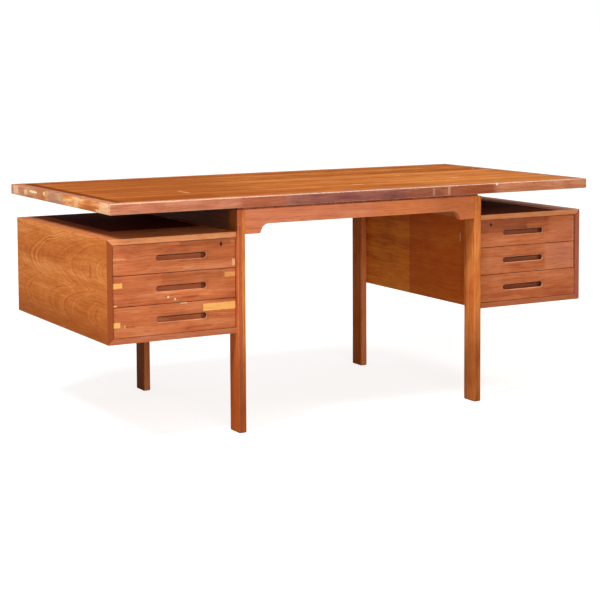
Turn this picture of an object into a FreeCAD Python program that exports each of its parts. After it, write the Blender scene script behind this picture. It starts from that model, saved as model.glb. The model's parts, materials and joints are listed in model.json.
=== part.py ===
"""Executive desk: a floating teak top on a leg-and-rail frame, with a three-drawer pedestal on each side.

Millimetres. +X is to the sitter's right as the drawer fronts are seen, +Y is towards the back, +Z is up.
The origin is on the floor under the middle of the tabletop. The right half is worked out and mirrored.
"""
import FreeCAD, Part

import os

Vector = FreeCAD.Vector

# Overall sizes
desk_width = 1756.0
desk_depth = 850.0
desk_height = 730.0
knee_width = 854.0

# Tabletop: a veneered board with mitred solid lippings
top_thickness = 33.0
lipping_width = 32.0
tongue_length = 8.0
tongue_thickness = 9.0
top_side_overhang = 2.0

# Spacer strips between the frame and the top
spacer_thickness = 8.0
spacer_setback = 7.0

# Legs: plain boards on end, their long edges and the edges round the foot rounded alike
leg_width = 26.0
leg_depth = 62.0
leg_round = 4.0
front_leg_setback = 19.0
back_leg_setback = 47.0

# Rails
rail_thickness = 22.0
rail_leg_reveal = 5.0
long_rail_depth = 47.0
bracket_depth = 76.0
bracket_length = 54.0
bracket_ramp = 6.0
bracket_arc_radius = 28.0
side_rail_depth = 79.0
tenon_thickness = 8.0
tenon_length = 17.0
tenon_shoulder = 8.0
joint_clearance = 0.1
mortise_depth_clearance = 1.0

# Pedestals
pedestal_gap = 75.0
pedestal_height = 312.0
pedestal_front_setback = 32.0
pedestal_back_setback = 46.0
panel_thickness = 17.0
back_panel_thickness = 9.0
back_rebate_width = 8.0
drawer_names = ("bottom_drawer", "middle_drawer", "top_drawer")
drawer_count = len(drawer_names)

# Drawer fronts
front_thickness = 20.0
front_recess = 2.0
front_gap = 2.0
front_end_gap = 1.5
front_side_gap = 1.8
front_stop_gap = 0.4

# Carved pull: a stadium mouth with a wider chamber cut behind its lip
pull_length = 165.0
pull_height = 18.0
pull_offset = 20.0
pull_depth = 14.0
pull_lip_thickness = 7.0
pull_undercut = 5.0
pull_rim_ease = 1.6

# Drawer boxes
box_side_thickness = 13.0
box_back_thickness = 12.0
box_bottom_thickness = 5.0
box_height = 74.0
box_lift = 6.0
box_side_gap = 1.6
box_back_space = 105.0
bottom_groove_lift = 8.0
bottom_groove_depth = 6.0
bottom_groove_clearance = 0.1
back_top_step = 3.0

# Dovetails
tail_slope_share = 0.14
middle_tail_width = 20.4
outer_tail_width = 11.5
half_pin_width = 3.7
front_socket_depth = 12.0
housing_root_width = 6.5
housing_tip_width = 8.5
housing_depth = 7.0

# Runners, each held in a groove along the outside of a drawer side
runner_height = 14.0
runner_play = 0.3
runner_groove_depth = 7.0
runner_front_space = 20.0
runner_back_reach = 25.0

# Locks of the two top drawers
lock_from_edge = 48.0
lock_below_top = 15.5
lock_width = 30.0
lock_drop = 15.0
lock_thickness = 11.0
lock_plate = 1.5
lock_play = 0.2
lock_top_gap = 0.3
plug_radius = 4.5
plug_stem_radius = 3.0
keyway_width = 1.6
keyway_height = 6.0
keyway_depth = 7.0
cam_length = 7.0
cam_thickness = 3.0
bolt_width = 21.0
bolt_travel = 6.0
bolt_top_gap = 0.6
bolt_window_above = 3.6
bolt_window_side = 7.4
bolt_foot = 2.4

# Common
arris = 1.2
front_arris = 0.8
overrun = 5.0
same_place = 0.001

# Places that follow from the sizes above
top_underside = desk_height - top_thickness
leg_top = top_underside - spacer_thickness
leg_knee_x = knee_width / 2
leg_outer_x = leg_knee_x + leg_width
front_leg_y = -desk_depth / 2 + front_leg_setback
back_leg_y = desk_depth / 2 - back_leg_setback
front_rail_y = front_leg_y + rail_leg_reveal
back_rail_y = back_leg_y - rail_leg_reveal
pedestal_outer_x = desk_width / 2 - top_side_overhang
pedestal_top = top_underside - pedestal_gap
pedestal_bottom = pedestal_top - pedestal_height
pedestal_front = -desk_depth / 2 + pedestal_front_setback
pedestal_back = desk_depth / 2 - pedestal_back_setback
opening_top = pedestal_top - panel_thickness
opening_bottom = pedestal_bottom + panel_thickness
bay_knee_x = leg_outer_x + panel_thickness
bay_outer_x = pedestal_outer_x - panel_thickness
front_face_y = pedestal_front + front_recess
front_back_y = front_face_y + front_thickness
inner_side_front = front_back_y + front_stop_gap
front_knee_x = leg_outer_x + front_side_gap
front_outer_x = bay_outer_x - front_side_gap
front_pitch = (opening_top - opening_bottom - 2 * front_end_gap + front_gap) / drawer_count
front_height = front_pitch - front_gap
box_knee_x = bay_knee_x + box_side_gap
box_outer_x = front_outer_x
box_back_y = pedestal_back - back_panel_thickness - box_back_space
inside_knee_x = box_knee_x + box_side_thickness
inside_outer_x = box_outer_x - box_side_thickness
pull_x = (front_knee_x + front_outer_x) / 2 - pull_offset
lock_x = front_knee_x + lock_from_edge


def box(x0, x1, y0, y1, z0, z1):
    """A block between two values on each axis."""
    return Part.makeBox(x1 - x0, y1 - y0, z1 - z0, Vector(x0, y0, z0))


def prism(points, along):
    """A closed flat outline carried along one vector."""
    corners = [Vector(*point) for point in points]
    return Part.Face(Part.makePolygon(corners + corners[:1])).extrude(along)


def rod(radius, start, along):
    """A round bar from a point along one vector."""
    return Part.makeCylinder(radius, along.Length, start, along)


def mirrored(shape):
    """The same piece on the left half of the desk."""
    return shape.mirror(Vector(0, 0, 0), Vector(1, 0, 0))


def joined(shapes):
    """Several overlapping solids as one solid without inner seams."""
    return shapes[0].multiFuse(shapes[1:]).removeSplitter()


def edges_in_plane(shape, y):
    """The edges that lie wholly in the plane of one Y value."""
    return [edge for edge in shape.Edges
            if abs(edge.BoundBox.YMin - y) < same_place and abs(edge.BoundBox.YMax - y) < same_place]


def save(name, shapes):
    """Write one node. Several solids are kept apart in it."""
    solids = shapes if isinstance(shapes, list) else [shapes]
    shape = solids[0] if len(solids) == 1 else Part.makeCompound(solids)
    shape.exportStep(os.path.join("parts", name + ".step"))
    print(name, len(shape.Solids), "valid" if shape.isValid() else "NOT VALID", round(shape.Volume))


def save_pair(name, shapes):
    """Write a right-hand node and its left-hand mirror image."""
    solids = shapes if isinstance(shapes, list) else [shapes]
    save("right_" + name, solids)
    save("left_" + name, [mirrored(solid) for solid in solids])


def lipping(half_length, half_across):
    """A front lipping: outer arrises eased, ends mitred to the outer corners."""
    inner = half_across - lipping_width
    top = desk_height
    profile = [(-half_length, -inner, top_underside), (-half_length, -inner, top),
               (-half_length, arris - half_across, top), (-half_length, -half_across, top - arris),
               (-half_length, -half_across, top_underside + arris),
               (-half_length, arris - half_across, top_underside)]
    bar = prism(profile, Vector(2 * half_length, 0, 0))
    mitres = prism([(-half_length, -half_across, top_underside), (half_length, -half_across, top_underside),
                    (half_length - lipping_width, -inner, top_underside),
                    (lipping_width - half_length, -inner, top_underside)], Vector(0, 0, top_thickness))
    return bar.common(mitres)


def tongue(clearance):
    """The tongue round the board's edge, or with a clearance the groove that takes it."""
    reach_x = desk_width / 2 - lipping_width + tongue_length + clearance
    reach_y = desk_depth / 2 - lipping_width + tongue_length + clearance
    middle = desk_height - top_thickness / 2
    half = tongue_thickness / 2 + clearance
    return box(-reach_x, reach_x, -reach_y, reach_y, middle - half, middle + half)


def make_tabletop():
    """The board with its tongue, and four mitred lippings."""
    half_x = desk_width / 2 - lipping_width
    half_y = desk_depth / 2 - lipping_width
    board = joined([box(-half_x, half_x, -half_y, half_y, top_underside, desk_height), tongue(0)])
    save("top_panel", board)
    upright = Vector(0, 0, 1)
    turned = {"front": (0, desk_width, desk_depth), "right": (90, desk_depth, desk_width),
              "back": (180, desk_width, desk_depth), "left": (270, desk_depth, desk_width)}
    for side, (angle, length, across) in turned.items():
        piece = lipping(length / 2, across / 2)
        piece.rotate(Vector(0, 0, 0), upright, angle)
        save(side + "_lipping", piece.cut(tongue(joint_clearance)))


def make_leg(outer_y, inward):
    """A board on end. Its four long edges and the four round its foot are rounded, and its top stays square."""
    front, back = sorted((outer_y, outer_y + inward * leg_depth))
    blank = box(leg_knee_x, leg_outer_x, front, back, 0, leg_top)
    return blank.makeFillet(leg_round, [edge for edge in blank.Edges if edge.BoundBox.ZMin < same_place])


def long_rail_tenon(rail_y, inward, clearance):
    """The tenon at the right end of the front or back rail, or with a clearance its mortise."""
    middle = rail_y + inward * rail_thickness / 2
    half = tenon_thickness / 2 + clearance
    end = tenon_length + (mortise_depth_clearance if clearance else 0)
    return box(leg_knee_x - overrun, leg_knee_x + end, middle - half, middle + half,
               leg_top - bracket_depth + tenon_shoulder - clearance, leg_top - tenon_shoulder + clearance)


def side_rail_tenons(clearance):
    """One bar that holds both tenons of a side rail, or with a clearance both mortises."""
    middle = leg_outer_x - rail_thickness / 2
    half = tenon_thickness / 2 + clearance
    end = tenon_length + (mortise_depth_clearance if clearance else 0)
    return box(middle - half, middle + half, front_leg_y + leg_depth - end, back_leg_y - leg_depth + end,
               leg_top - side_rail_depth + tenon_shoulder - clearance, leg_top - tenon_shoulder + clearance)


def make_long_rail(rail_y, inward):
    """A rail between two legs: shallow in the middle, deeper at each end behind a ramp and a quarter curve."""
    low = leg_top - bracket_depth
    high = leg_top - long_rail_depth
    ramp_x = leg_knee_x - bracket_length
    arc_drop = (high - low) / 2
    turn_cos = 1 - arc_drop / bracket_arc_radius
    turn_sin = (1 - turn_cos ** 2) ** 0.5
    half_turn_cos = ((1 + turn_cos) / 2) ** 0.5
    half_turn_sin = ((1 - turn_cos) / 2) ** 0.5
    foot_x = ramp_x - bracket_ramp
    arc_end_x = foot_x - bracket_arc_radius * turn_sin

    def at(x, z):
        return Vector(x, rail_y, z)

    def arc(side):
        start = at(side * foot_x, high - arc_drop)
        middle = at(side * (arc_end_x + bracket_arc_radius * half_turn_sin),
                    high - bracket_arc_radius * (1 - half_turn_cos))
        return Part.Arc(start, middle, at(side * arc_end_x, high)).toShape()

    def line(*points):
        return [Part.LineSegment(one, two).toShape() for one, two in zip(points, points[1:])]

    edges = line(at(arc_end_x, high), at(-arc_end_x, high)) + [arc(-1)]
    edges += line(at(-foot_x, high - arc_drop), at(-ramp_x, low), at(-leg_knee_x, low),
                  at(-leg_knee_x, leg_top), at(leg_knee_x, leg_top), at(leg_knee_x, low),
                  at(ramp_x, low), at(foot_x, high - arc_drop))
    edges += [arc(1)]
    outline = Part.Face(Part.Wire(Part.__sortEdges__(edges)))
    body = outline.extrude(Vector(0, inward * rail_thickness, 0))
    tenon = long_rail_tenon(rail_y, inward, 0)
    return joined([body, tenon, mirrored(tenon)])


def make_frame():
    """Four legs, four rails and the spacer strips that carry the top."""
    mortises = [long_rail_tenon(front_rail_y, 1, joint_clearance),
                long_rail_tenon(back_rail_y, -1, joint_clearance), side_rail_tenons(joint_clearance)]
    for name, outer_y, inward in (("front_leg", front_leg_y, 1), ("back_leg", back_leg_y, -1)):
        save_pair(name, make_leg(outer_y, inward).cut(mortises))
    save("front_rail", make_long_rail(front_rail_y, 1))
    save("back_rail", make_long_rail(back_rail_y, -1))
    rail_front = front_leg_y + leg_depth
    rail_back = back_leg_y - leg_depth
    side_rail = joined([box(leg_outer_x - rail_thickness, leg_outer_x, rail_front, rail_back,
                            leg_top - side_rail_depth, leg_top), side_rail_tenons(0)])
    save_pair("side_rail", side_rail)
    make_spacer_strips()


def make_spacer_strips():
    """Strips on top of the rails and legs, set back from the outer faces of both."""
    outer_x = leg_outer_x - spacer_setback
    inner_x = leg_outer_x - rail_thickness
    front = front_rail_y + spacer_setback
    back = back_rail_y - spacer_setback
    front_end = front_rail_y + rail_thickness
    back_end = back_rail_y - rail_thickness
    side = box(inner_x, outer_x, front_end, back_end, leg_top, top_underside)
    save("front_spacer_strip", box(-outer_x, outer_x, front, front_end, leg_top, top_underside))
    save("back_spacer_strip", box(-outer_x, outer_x, back_end, back, leg_top, top_underside))
    save_pair("spacer_strip", side)


def corner_outline(tip_x, tip_z, far_x, far_z, y):
    """A panel outline from its mitred, eased outer corner to its far end, in the plane of one Y value."""
    step_x = panel_thickness if far_x > tip_x else -panel_thickness
    step_z = panel_thickness if far_z > tip_z else -panel_thickness
    ease_x = arris * step_x / panel_thickness
    ease_z = arris * step_z / panel_thickness
    return [(tip_x + ease_x / 2, y, tip_z + ease_z / 2), (tip_x + step_x, y, tip_z + step_z),
            (far_x, y, tip_z + step_z), (far_x, y, tip_z), (tip_x + ease_x, y, tip_z)]


def make_pedestals():
    """Carcases with rebated backs and runners, mitred outside, with one full-height panel against the legs."""
    depth = Vector(0, pedestal_back - pedestal_front, 0)
    top = prism(corner_outline(pedestal_outer_x, pedestal_top, leg_outer_x, pedestal_bottom, pedestal_front),
                depth)
    bottom = prism(corner_outline(pedestal_outer_x, pedestal_bottom, leg_outer_x, pedestal_top, pedestal_front),
                   depth)
    outer = prism([(pedestal_outer_x - arris / 2, pedestal_front, pedestal_bottom + arris / 2),
                   (pedestal_outer_x, pedestal_front, pedestal_bottom + arris),
                   (pedestal_outer_x, pedestal_front, pedestal_top - arris),
                   (pedestal_outer_x - arris / 2, pedestal_front, pedestal_top - arris / 2),
                   (bay_outer_x, pedestal_front, opening_top),
                   (bay_outer_x, pedestal_front, opening_bottom)], depth)
    inner = box(leg_outer_x, bay_knee_x, inner_side_front, pedestal_back, pedestal_bottom, pedestal_top)
    rebate_y = pedestal_back - back_panel_thickness
    back = box(bay_knee_x - back_rebate_width, bay_outer_x + back_rebate_width, rebate_y, pedestal_back,
               opening_bottom - back_rebate_width, opening_top + back_rebate_width)
    reach = back_rebate_width + joint_clearance
    rebate = box(bay_knee_x - reach, bay_outer_x + reach, rebate_y, pedestal_back + overrun,
                 opening_bottom - reach, opening_top + reach)
    save_pair("pedestal_top", top.cut([inner, rebate, lock_mortise()]))
    save_pair("pedestal_bottom", bottom.cut([inner, rebate]))
    save_pair("pedestal_outer_side", outer.cut(rebate))
    save_pair("pedestal_inner_side", inner.cut(rebate))
    save_pair("pedestal_back", back)
    save_pair("drawer_runners", [runner for index in range(drawer_count) for runner in drawer_runners(index)])


def front_bottom(index):
    """The lower edge of a drawer front, counted from the lowest drawer."""
    return opening_bottom + front_end_gap + index * front_pitch


def drawer_runners(index):
    """The strip on each wall of the bay that a drawer slides on."""
    low = runner_low(front_bottom(index) + box_lift)
    reach = box_side_gap + runner_groove_depth - 2 * runner_play
    front, back = inner_side_front + runner_front_space, box_back_y + runner_back_reach
    knee = box(bay_knee_x, bay_knee_x + reach, front, back, low, low + runner_height)
    gap = bay_outer_x - box_outer_x
    reach = gap + runner_groove_depth - 2 * runner_play
    return [knee, box(bay_outer_x - reach, bay_outer_x, front, back, low, low + runner_height)]


def stadium(length, height, y0, y1, z):
    """A slot with round ends, cut square to the front between two depths."""
    straight = (length - height) / 2
    radius = height / 2
    along = Vector(0, y1 - y0, 0)
    ends = [rod(radius, Vector(pull_x + side * straight, y0, z), along) for side in (-1, 1)]
    return joined([box(pull_x - straight, pull_x + straight, y0, y1, z - radius, z + radius)] + ends)


def tails(x0, x1, root_y, depth, low, clearance):
    """Three dovetail tails that widen from their root along Y, the middle one round the runner groove."""
    spread = abs(depth) * tail_slope_share
    total = 2 * outer_tail_width + middle_tail_width
    pin = (back_board_height() - total - 2 * half_pin_width) / 2
    starts = [half_pin_width, half_pin_width + outer_tail_width + pin,
              half_pin_width + outer_tail_width + middle_tail_width + 2 * pin]
    widths = [outer_tail_width, middle_tail_width, outer_tail_width]
    shapes = []
    for start, width in zip(starts, widths):
        wide_low, wide_high = low + start - clearance, low + start + width + clearance
        outline = [(x0, root_y, wide_low + spread), (x0, root_y + depth, wide_low),
                   (x0, root_y + depth, wide_high), (x0, root_y, wide_high - spread)]
        shapes.append(prism(outline, Vector(x1 - x0, 0, 0)))
    return shapes


def back_board_height():
    """The drawer's back stands on the bottom board and stops short of the sides' top edge."""
    return box_height - bottom_groove_lift - box_bottom_thickness - back_top_step


def housing(low, high, clearance):
    """The upright dovetailed rib that joins the knee-side board to the back of the front."""
    middle = (box_knee_x + inside_knee_x) / 2
    root = housing_root_width / 2 + clearance
    tip = housing_tip_width / 2 + clearance
    depth = housing_depth + clearance
    return prism([(middle - root, front_back_y, low), (middle + root, front_back_y, low),
                  (middle + tip, front_back_y - depth, low), (middle - tip, front_back_y - depth, low)],
                 Vector(0, 0, high - low))


def carved_front(low, high):
    """A drawer front: eased outer edges, and a stadium pull with an eased rim and a wider chamber."""
    blank = box(front_knee_x, front_outer_x, front_face_y, front_back_y, low, high)
    blank = blank.makeChamfer(front_arris, edges_in_plane(blank, front_face_y))
    middle = (low + high) / 2
    lip_back = front_face_y + pull_lip_thickness
    carved = blank.cut(stadium(pull_length, pull_height, front_face_y - overrun, lip_back, middle))
    rim = [edge for edge in edges_in_plane(carved, front_face_y)
           if edge.BoundBox.ZMax - edge.BoundBox.ZMin < pull_height + same_place
           and edge.BoundBox.ZMin > low + front_arris + same_place
           and edge.BoundBox.ZMax < high - front_arris - same_place]
    carved = carved.makeChamfer(pull_rim_ease, rim)
    chamber = stadium(pull_length + 2 * pull_undercut, pull_height + 2 * pull_undercut, lip_back,
                      front_face_y + pull_depth, middle)
    return carved.cut(chamber)


def side_board(x0, x1, outer_face, box_low, tail_low):
    """A drawer side: dovetailed to the back, grooved inside for the bottom and outside for the runner."""
    board = box(x0, x1, front_back_y, box_back_y, box_low, box_low + box_height)
    back_y = box_back_y - box_back_thickness
    board = board.cut(box(x0 - overrun, x1 + overrun, back_y, box_back_y + overrun,
                          tail_low, tail_low + back_board_height()))
    board = joined([board] + tails(x0, x1, back_y, box_back_thickness, tail_low, 0))
    groove_low = runner_low(box_low) - runner_play
    groove_x = sorted((outer_face, outer_face + runner_groove_depth * (1 if outer_face == x0 else -1)))
    return board.cut(box(*groove_x, inner_side_front + runner_front_space - runner_play, box_back_y + overrun,
                         groove_low, groove_low + runner_height + 2 * runner_play))


def runner_low(box_low):
    """The height of a runner's lower face: it is centred on the middle dovetail of the drawer's back."""
    return box_low + bottom_groove_lift + box_bottom_thickness + (back_board_height() - runner_height) / 2


def make_drawer(name, index):
    """A front with a carved pull, two grooved and dovetailed sides, a back and a bottom."""
    low = front_bottom(index)
    high = low + front_height
    box_low = low + box_lift
    box_high = box_low + box_height
    bottom_low = box_low + bottom_groove_lift
    tail_low = bottom_low + box_bottom_thickness
    gap = bottom_groove_clearance
    bottom = box(inside_knee_x - bottom_groove_depth, inside_outer_x + bottom_groove_depth,
                 front_back_y - bottom_groove_depth, box_back_y, bottom_low, tail_low)
    groove = box(inside_knee_x - bottom_groove_depth - gap, inside_outer_x + bottom_groove_depth + gap,
                 front_back_y - bottom_groove_depth - gap, box_back_y + overrun,
                 bottom_low - gap, tail_low + gap)

    sockets = tails(inside_outer_x, box_outer_x + overrun, front_back_y, -front_socket_depth, tail_low,
                    joint_clearance)
    front = carved_front(low, high).cut(sockets + [groove, housing(low - overrun, box_high, joint_clearance)])
    if index == drawer_count - 1:
        front = front.cut([lock_pocket(high), plug_hole(high)])
        make_lock(high)
    save_pair(name + "_front", front)

    knee_side = side_board(box_knee_x, inside_knee_x, box_knee_x, box_low, tail_low)
    knee_side = joined([knee_side, housing(box_low, box_high, 0)])
    outer_side = side_board(inside_outer_x, box_outer_x, box_outer_x, box_low, tail_low)
    outer_side = joined([outer_side] + tails(inside_outer_x, box_outer_x, front_back_y, -front_socket_depth,
                                             tail_low, 0))
    save_pair(name + "_sides", [knee_side.cut(groove), outer_side.cut(groove)])

    back_y = box_back_y - box_back_thickness
    pins = [pin for x0, x1 in ((box_knee_x - overrun, inside_knee_x), (inside_outer_x, box_outer_x + overrun))
            for pin in tails(x0, x1, back_y, box_back_thickness, tail_low, joint_clearance)]
    back = box(box_knee_x, box_outer_x, back_y, box_back_y, tail_low, tail_low + back_board_height())
    save_pair(name + "_back", back.cut(pins))
    save_pair(name + "_bottom", bottom)


def lock_pocket(high):
    """The pocket in the back of a top drawer front, open at its upper edge, that takes the lock."""
    return box(lock_x - lock_width / 2, lock_x + lock_width / 2, front_back_y - lock_thickness,
               front_back_y + overrun, high - lock_below_top - lock_drop, high + overrun)


def plug_hole(high):
    """The round hole through the front for the lock's plug."""
    start = Vector(lock_x, front_face_y - overrun, high - lock_below_top)
    return rod(plug_radius + lock_play, start, Vector(0, front_thickness, 0))


def bolt_block(low, high, play):
    """The bolt's block between two heights, or with a play the channel round it."""
    front = front_back_y - lock_thickness + lock_plate + lock_play
    back = front_back_y - lock_plate - lock_play
    half = bolt_width / 2
    return box(lock_x - half - play, lock_x + half + play, front - play, back + play, low, high)


def lock_mortise():
    """The pocket in the pedestal's top that takes the raised bolt."""
    high = opening_top - front_end_gap - bolt_top_gap + bolt_travel
    return bolt_block(opening_top - overrun, high + lock_play, lock_play)


def make_lock(high):
    """A flush lock: a case, a plug with a keyway and a cam, and the bolt that the cam lifts."""
    axis_z = high - lock_below_top
    pocket_y = front_back_y - lock_thickness
    case_low = axis_z - lock_drop
    case = box(lock_x - lock_width / 2 + lock_play, lock_x + lock_width / 2 - lock_play, pocket_y, front_back_y,
               case_low, high - lock_top_gap)
    stem_back = front_back_y - lock_plate - lock_play
    stem_hole = rod(plug_stem_radius + lock_play, Vector(lock_x, pocket_y - overrun, axis_z),
                    Vector(0, overrun + lock_thickness / 2, 0))
    save_pair("lock_case", case.cut([bolt_block(case_low + lock_plate, high + overrun, lock_play), stem_hole]))

    head = rod(plug_radius, Vector(lock_x, front_face_y, axis_z),
               Vector(0, pocket_y - lock_play - front_face_y, 0))
    stem = rod(plug_stem_radius, Vector(lock_x, front_face_y + keyway_depth, axis_z),
               Vector(0, stem_back - front_face_y - keyway_depth, 0))
    cam_front = pocket_y + lock_plate + lock_play
    cam = box(lock_x, lock_x + cam_length, cam_front, stem_back, axis_z - cam_thickness / 2,
              axis_z + cam_thickness / 2)
    keyway = box(lock_x - keyway_width / 2, lock_x + keyway_width / 2, front_face_y - overrun,
                 front_face_y + keyway_depth, axis_z - keyway_height / 2, axis_z + keyway_height / 2)
    save_pair("lock_plug", joined([head, stem, cam]).cut(keyway))

    window_side = plug_stem_radius + 2 * lock_play
    window_low = axis_z - plug_stem_radius - bolt_travel - 2 * lock_play
    bolt = bolt_block(window_low - bolt_foot, high - bolt_top_gap, 0)
    window = box(lock_x - window_side, lock_x + bolt_window_side, pocket_y, front_back_y, window_low,
                 axis_z + bolt_window_above)
    save_pair("lock_bolt", bolt.cut(window))


os.makedirs("parts", exist_ok=True)
make_tabletop()
make_frame()
make_pedestals()
for number, drawer_name in enumerate(drawer_names):
    make_drawer(drawer_name, number)
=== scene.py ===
# %% [markdown]
# # A teak desk, dressed piece by piece
# The frame holds every solid of this executive desk at its real size: a floating top, a frame of legs and
# rails, and two pedestals of three drawers. This lesson gives each surface its wood or metal. The pieces
# whose edges a maker rounds by hand are made again as smooth skins, and the joinery keeps its solids with
# softened edges.

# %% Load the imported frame
import json
import math

import bmesh
import bpy
import numpy as np
from mathutils import Matrix, Vector

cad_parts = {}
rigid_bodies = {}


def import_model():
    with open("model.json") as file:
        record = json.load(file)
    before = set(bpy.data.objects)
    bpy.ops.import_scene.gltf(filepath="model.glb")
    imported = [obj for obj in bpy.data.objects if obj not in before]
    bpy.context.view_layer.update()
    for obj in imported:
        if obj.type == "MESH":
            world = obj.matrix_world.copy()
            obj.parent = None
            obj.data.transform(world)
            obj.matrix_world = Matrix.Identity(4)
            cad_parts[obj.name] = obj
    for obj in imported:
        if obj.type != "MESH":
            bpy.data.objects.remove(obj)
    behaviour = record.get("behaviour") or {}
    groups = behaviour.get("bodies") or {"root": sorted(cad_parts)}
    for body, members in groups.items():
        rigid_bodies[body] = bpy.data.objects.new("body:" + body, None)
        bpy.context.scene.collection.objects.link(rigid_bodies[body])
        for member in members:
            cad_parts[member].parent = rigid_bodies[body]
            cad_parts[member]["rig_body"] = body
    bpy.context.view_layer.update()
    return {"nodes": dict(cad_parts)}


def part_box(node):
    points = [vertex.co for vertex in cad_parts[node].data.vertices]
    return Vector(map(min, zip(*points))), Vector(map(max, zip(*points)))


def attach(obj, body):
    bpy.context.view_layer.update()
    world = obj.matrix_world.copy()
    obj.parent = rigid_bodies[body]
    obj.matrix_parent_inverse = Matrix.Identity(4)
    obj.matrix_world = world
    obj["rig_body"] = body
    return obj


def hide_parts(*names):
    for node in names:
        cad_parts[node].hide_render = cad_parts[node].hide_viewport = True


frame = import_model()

# %% [markdown]
# ## The picture
# The desk is seen from the front and a little to the left, from above its top. The camera's place and
# angles were worked out from the corners of the desk. A long lens keeps the verticals nearly parallel.
# The frame is shifted down by a fifth of its height, which shows the feet without tilting the camera.

# %% Camera
CAMERA_PLACE = (-2.6876, -4.7663, 1.1738)
YAW, PITCH, ROLL = -0.5123, -0.0803, -0.0050
LENS, SENSOR, SHIFT_Y = 97.28, 36.0, -0.2

ahead = Vector((-math.sin(YAW) * math.cos(PITCH), math.cos(YAW) * math.cos(PITCH), math.sin(PITCH)))
level = Vector((math.cos(YAW), math.sin(YAW), 0))
upward = level.cross(ahead)
right = level * math.cos(ROLL) + upward * math.sin(ROLL)
above = upward * math.cos(ROLL) - level * math.sin(ROLL)

camera = bpy.data.objects.new("camera", bpy.data.cameras.new("camera"))
bpy.context.scene.collection.objects.link(camera)
turned = Matrix((right, above, -ahead)).transposed().to_4x4()
camera.matrix_world = Matrix.Translation(CAMERA_PLACE) @ turned
camera.data.lens, camera.data.sensor_width, camera.data.shift_y = LENS, SENSOR, SHIFT_Y
bpy.context.scene.camera = camera
bpy.context.scene.view_settings.view_transform = "Standard"
print("camera looks along", [round(value, 3) for value in ahead])

# %% [markdown]
# ## One way to add a node
# A material is a small graph. Every node in it is added by the same function, which sets the node's own
# choices and then gives each socket a value or a link. Colours are written as they look on a screen, and
# turned linear once. Sockets go by name, or by number where several of one node share a name.

# %% Colours and nodes
# A Mix node's sockets: its share, then the pair for numbers, the pair for colours, and the colour that
# comes out.
SHARE = 0
NUMBER_A, NUMBER_B = 2, 3
COLOUR_A, COLOUR_B, COLOUR_OUT = 6, 7, 2


def linear(code):
    """Screen colour to light: each channel is divided by 12.92 where dark, or raised to the power 2.4."""
    channels = [int(code[start:start + 2], 16) / 255 for start in (1, 3, 5)]
    return [c / 12.92 if c <= 0.04045 else ((c + 0.055) / 1.055) ** 2.4 for c in channels] + [1.0]


def add(tree, kind, inputs, **settings):
    """Adds one node, makes its settings, and gives each input that is named a value, a colour or a link."""
    made = tree.nodes.new("ShaderNode" + kind)
    for name, value in settings.items():
        setattr(made, name, value)
    for socket, value in inputs.items():
        if isinstance(value, bpy.types.NodeSocket):
            tree.links.new(value, made.inputs[socket])
        else:
            made.inputs[socket].default_value = linear(value) if isinstance(value, str) else value
    return made


def new_material(name):
    """An empty material and its node tree."""
    material = bpy.data.materials.new(name)
    material.use_nodes = True
    material.node_tree.nodes.clear()
    return material, material.node_tree


print("a middle grey, as light:", round(linear("#808080")[0], 3))

# %% [markdown]
# ## Floor and light
# The desk stands on a plain pale floor that goes on to the horizon. Rays from the camera, off polish and
# through glass see the floor brighter than it is lit, and more so far away. So the ground is white and
# still takes the desk's shadow. Soft lamps stand where a studio has them: the key lamp above and to the
# left, two fills in front, and a weak one high on the right. The sky is dim, so the knee hole and the gap
# under the top fall into shade, as they do in a room.

# %% Floor
# In metres: half the floor's side, and the distances from the middle at which the glow is least and most.
FLOOR_HALF = 60.0
GLOW_START, GLOW_END = 1.2, 4.0
GLOW_NEAR, GLOW_FAR = 0.80, 0.98

floor_mesh = bpy.data.meshes.new("floor")
corners = [(x * FLOOR_HALF, y * FLOOR_HALF, 0) for x, y in ((-1, -1), (1, -1), (1, 1), (-1, 1))]
floor_mesh.from_pydata(corners, [], [(0, 1, 2, 3)])
floor = bpy.data.objects.new("floor", floor_mesh)
bpy.context.scene.collection.objects.link(floor)


def background_rays(tree):
    """One for rays from the camera, off polish and through glass, and zero for all others."""
    rays = add(tree, "LightPath", {})
    straight = add(tree, "Math", {0: rays.outputs["Is Camera Ray"], 1: rays.outputs["Is Transmission Ray"]},
                   operation="MAXIMUM")
    either = add(tree, "Math", {0: straight.outputs[0], 1: rays.outputs["Is Glossy Ray"]},
                 operation="MAXIMUM")
    return either.outputs[0]


# Matt paint scatters light evenly. The glow is added only for the rays above.
painted, tree = new_material("matt white floor paint")
lit = add(tree, "BsdfDiffuse", {"Color": "#B0ADA8"})
spot = add(tree, "TexCoord", {})
away = add(tree, "VectorMath", {0: spot.outputs["Object"]}, operation="LENGTH")
amount = add(tree, "MapRange", {"Value": away.outputs["Value"], "From Min": GLOW_START,
                                "From Max": GLOW_END, "To Min": GLOW_NEAR, "To Max": GLOW_FAR})
glow = add(tree, "Emission", {"Color": "#FFFFFF", "Strength": amount.outputs[0]})
both = add(tree, "AddShader", {0: lit.outputs[0], 1: glow.outputs[0]})
seen = add(tree, "MixShader", {0: background_rays(tree), 1: lit.outputs[0], 2: both.outputs[0]})
add(tree, "OutputMaterial", {"Surface": seen.outputs[0]})
floor_mesh.materials.append(painted)
print("floor, metres:", [round(2 * FLOOR_HALF)] * 2)

# %% World and lamps
SKY_STRENGTH = 0.36
LAMP_COLOUR = (1.0, 0.99, 0.975)
AIM = Vector((0, 0, 0.45))
# Each lamp's place in metres, the side of its square in metres, and its watts.
LAMPS = {
    "key": ((-2.4, -1.05, 3.5), 0.9, 150.0),
    "broad_front": ((-1.4, -5.2, 2.1), 2.2, 110.0),
    "low_left": ((-3.2, -3.4, 0.8), 1.4, 20.0),
    "high_right": ((2.4, -1.2, 3.3), 1.4, 38.0),
}

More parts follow.
